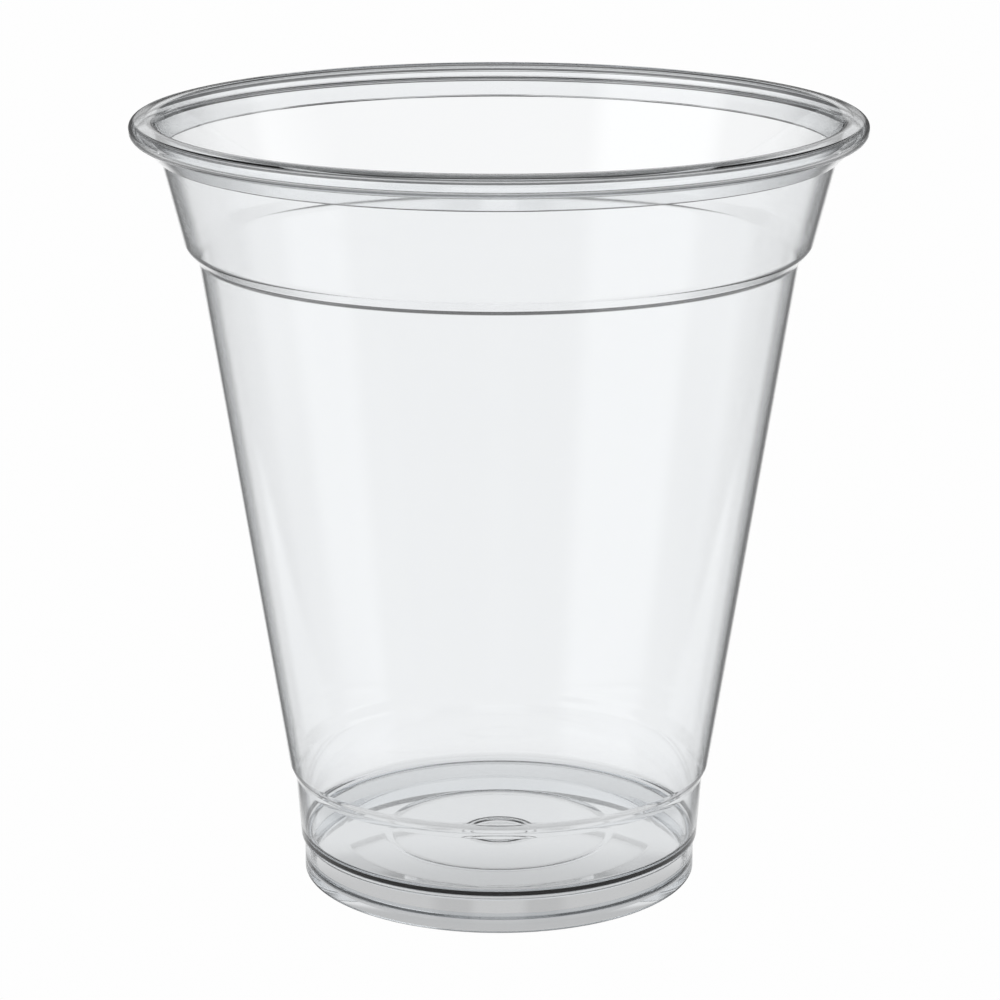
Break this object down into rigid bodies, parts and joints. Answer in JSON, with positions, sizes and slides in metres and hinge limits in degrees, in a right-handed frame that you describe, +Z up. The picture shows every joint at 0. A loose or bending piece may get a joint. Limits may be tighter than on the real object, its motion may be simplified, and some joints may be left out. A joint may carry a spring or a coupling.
{
  "type": "plastic disposable cup",
  "caption": "Clear plastic disposable cup, open at the top, with a rolled rim, a stepped and tapered side, and a floor raised on a foot ring.",
  "frame": {"origin": "centre of the foot ring's underside, on the cup's axis, in the plane of the table", "axes": "+Z up along the cup's axis, towards the open mouth; the cup is the same all round, so X and Y are any two level directions"},
  "size_m": [0.098, 0.098, 0.1057],
  "materials": {
    "clear_plastic": "clear and glossy"
  },
  "bodies": {
    "root": {"cup": "clear_plastic"}
  },
  "joints": []
}
